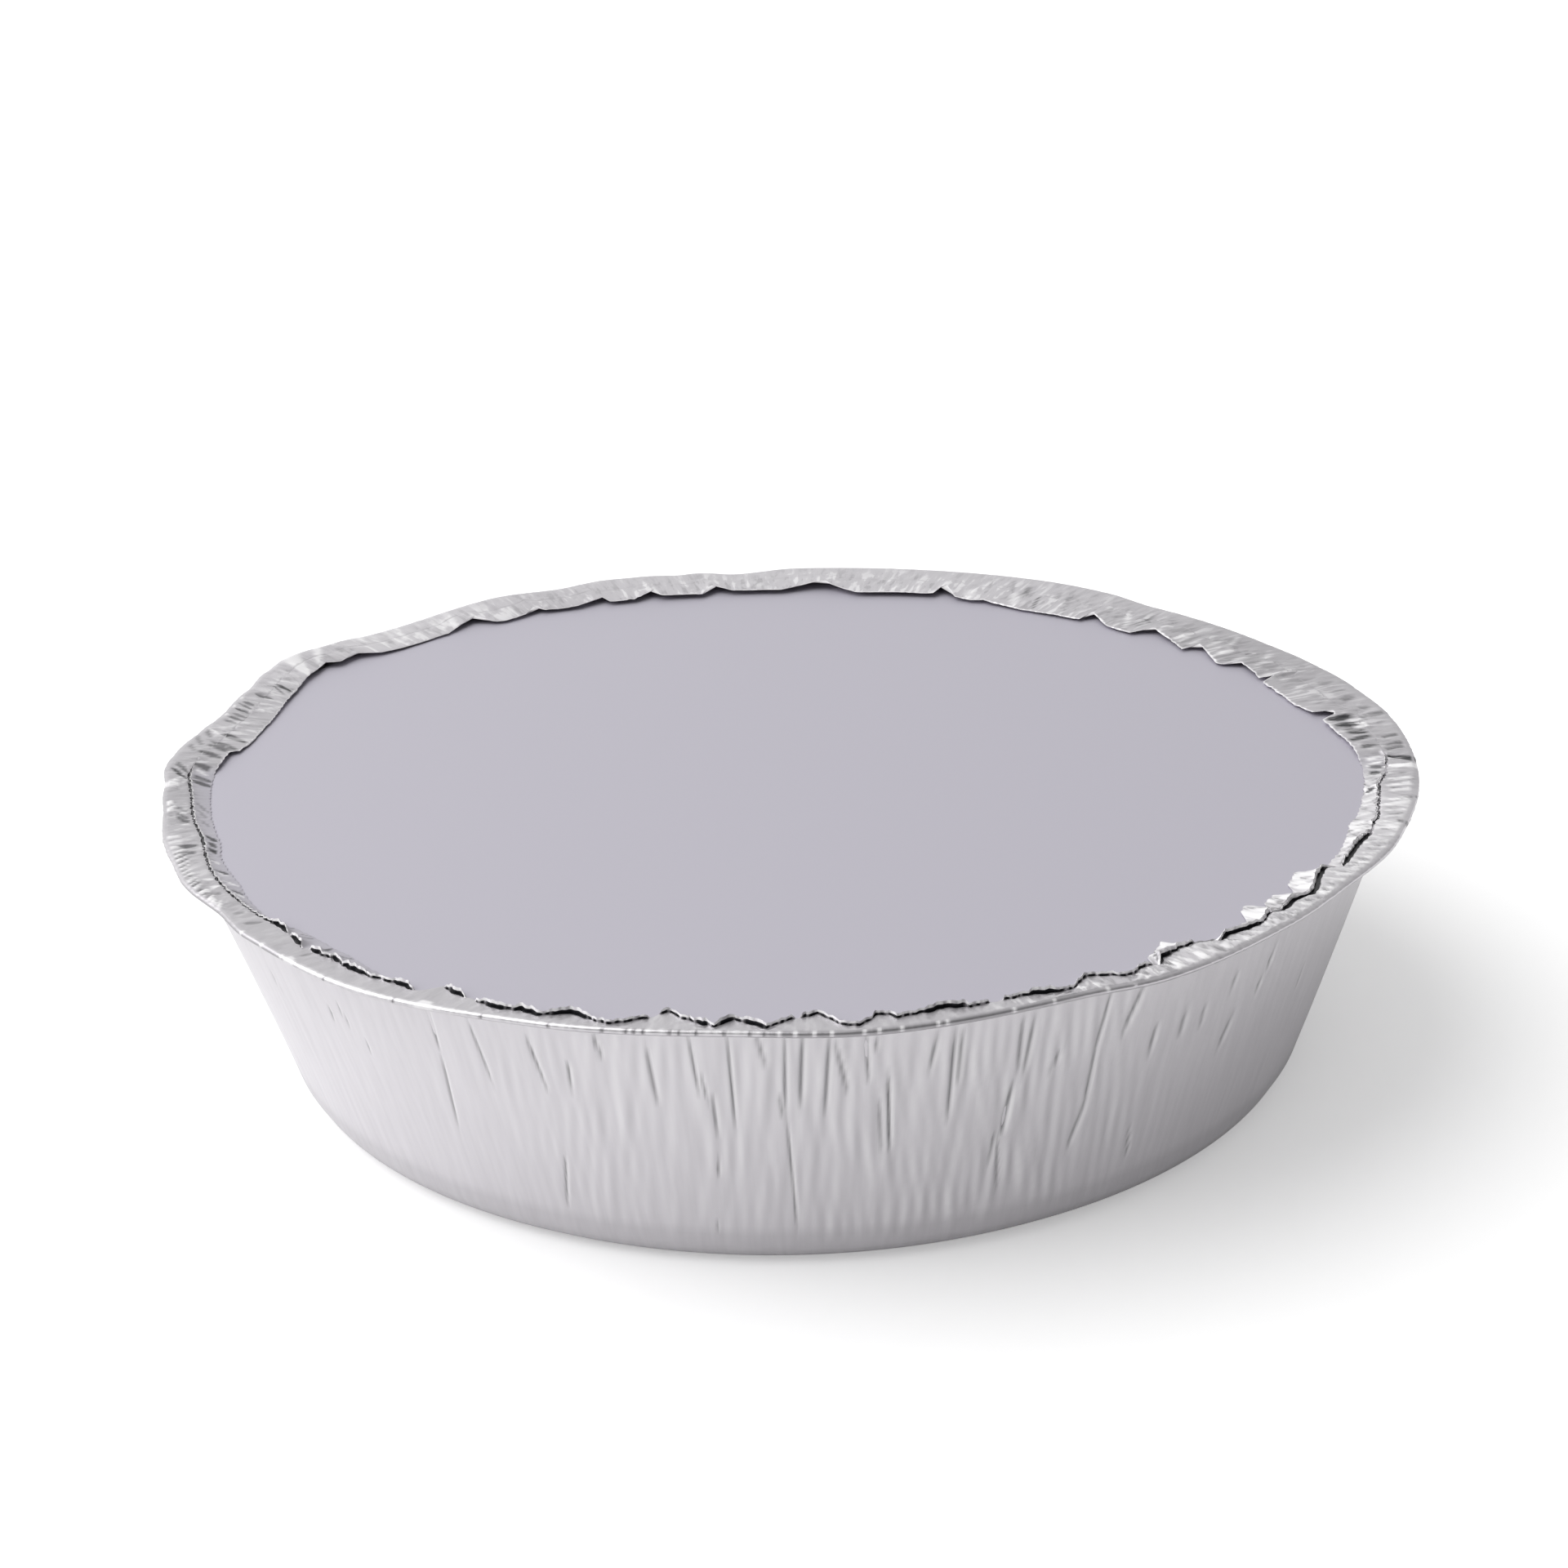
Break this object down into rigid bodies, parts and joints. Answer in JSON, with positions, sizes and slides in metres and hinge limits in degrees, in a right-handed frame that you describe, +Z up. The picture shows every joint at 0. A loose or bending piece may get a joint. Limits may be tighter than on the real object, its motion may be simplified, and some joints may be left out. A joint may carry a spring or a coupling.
{
  "type": "foil pie tin",
  "caption": "Round pressed foil tin with tapered wrinkled wall, closed by a flat board lid held under its folded and pleated rim.",
  "frame": {"origin": "middle of the flat base, on its underside, where the tin stands", "axes": "+Z up through the lid; -Y is the side the picture shows; +X is to its right"},
  "size_m": [0.2052, 0.203, 0.048],
  "materials": {
    "foil": "bright satin rolled foil, wrinkled and pleated",
    "laminated_board": "smooth satin aluminium foil laminated on board"
  },
  "bodies": {
    "root": {"foil_pan": "foil", "board_lid": "laminated_board"}
  },
  "joints": []
}
